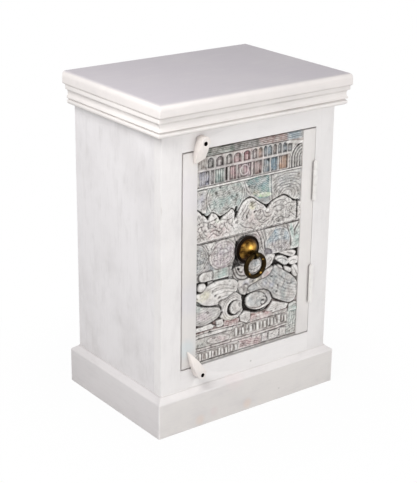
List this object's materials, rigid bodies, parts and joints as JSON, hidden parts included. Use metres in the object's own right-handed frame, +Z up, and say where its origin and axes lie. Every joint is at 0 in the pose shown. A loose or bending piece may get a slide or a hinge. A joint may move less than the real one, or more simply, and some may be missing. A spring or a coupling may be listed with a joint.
{
  "type": "bedside pot cupboard",
  "caption": "Bedside pot cupboard with a moulded top and plinth, and a hinged door with a carved board, a ring pull and wooden turn buttons.",
  "frame": {"origin": "centre of the whole outline, ring pull included, at the floor", "axes": "+X towards the hinge side, +Y towards the back, +Z up"},
  "size_m": [0.417, 0.307, 0.6],
  "materials": {
    "white_top": "thin satin white paint",
    "white_paint": "matt white paint, brushed",
    "white_door": "matt white paint, brushed",
    "washed_carving": "worn paint in soft colours under a white wash",
    "raw_wood": "bare wood",
    "hinge_paint": "white paint",
    "steel": "dull",
    "aged_brass": "aged, worn bright on the dome",
    "dark_brass": "dark with age"
  },
  "bodies": {
    "carcass": {"side_panel_left": "white_paint", "side_panel_right": "white_paint", "back_panel": "white_paint", "bottom_board": "raw_wood", "bottom_cleat_left": "raw_wood", "bottom_cleat_right": "raw_wood", "shelf": "raw_wood", "shelf_cleat_left": "raw_wood", "shelf_cleat_right": "raw_wood", "top_board": "white_top", "top_batten_front": "raw_wood", "top_batten_back": "raw_wood", "top_screws": "steel", "face_stile_left": "white_paint", "face_stile_right": "white_paint", "face_rail_top": "white_paint", "face_rail_bottom": "white_paint", "door_stop": "raw_wood", "cornice_front": "white_paint", "cornice_left": "white_paint", "cornice_right": "white_paint", "plinth_front": "white_paint", "plinth_left": "white_paint", "plinth_right": "white_paint", "plinth_back": "white_paint", "back_nails": "steel", "hinge_upper_frame_leaf": "hinge_paint", "hinge_upper_pin": "hinge_paint", "hinge_lower_frame_leaf": "hinge_paint", "hinge_lower_pin": "hinge_paint", "hinge_frame_screws": "steel", "button_screw_top": "steel", "button_screw_bottom": "steel"},
    "door": {"door_stile_latch": "white_door", "door_stile_hinge": "white_door", "carved_board": "washed_carving", "door_batten_top": "raw_wood", "door_batten_bottom": "raw_wood", "batten_screws": "steel", "hinge_upper_door_leaf": "hinge_paint", "hinge_lower_door_leaf": "hinge_paint", "hinge_door_screws": "steel", "pull_rose": "dark_brass", "pull_dome": "aged_brass", "pull_eye": "aged_brass", "pull_washer": "aged_brass", "pull_nut": "aged_brass"},
    "pull_ring": {"pull_ring": "dark_brass"},
    "button_top": {"turn_button_top": "white_door"},
    "button_low": {"turn_button_bottom": "white_door"}
  },
  "joints": [
    {"name": "door_swing", "type": "hinge", "parent": "carcass", "child": "door", "pos_m": [0.145, -0.1277, 0.3], "axis": [0, 0, 1], "range_deg": [0, 165]},
    {"name": "ring_swing", "type": "hinge", "parent": "door", "child": "pull_ring", "pos_m": [-0.003, -0.1457, 0.30415], "axis": [-1, 0, 0], "range_deg": [-20, 200]},
    {"name": "button_top_turn", "type": "hinge", "parent": "carcass", "child": "button_top", "pos_m": [-0.1095, -0.1315, 0.5205], "axis": [0, 1, 0], "range_deg": [-130, 95]},
    {"name": "button_low_turn", "type": "hinge", "parent": "carcass", "child": "button_low", "pos_m": [-0.1095, -0.1315, 0.1], "axis": [0, 1, 0], "range_deg": [-85, 140]}
  ]
}
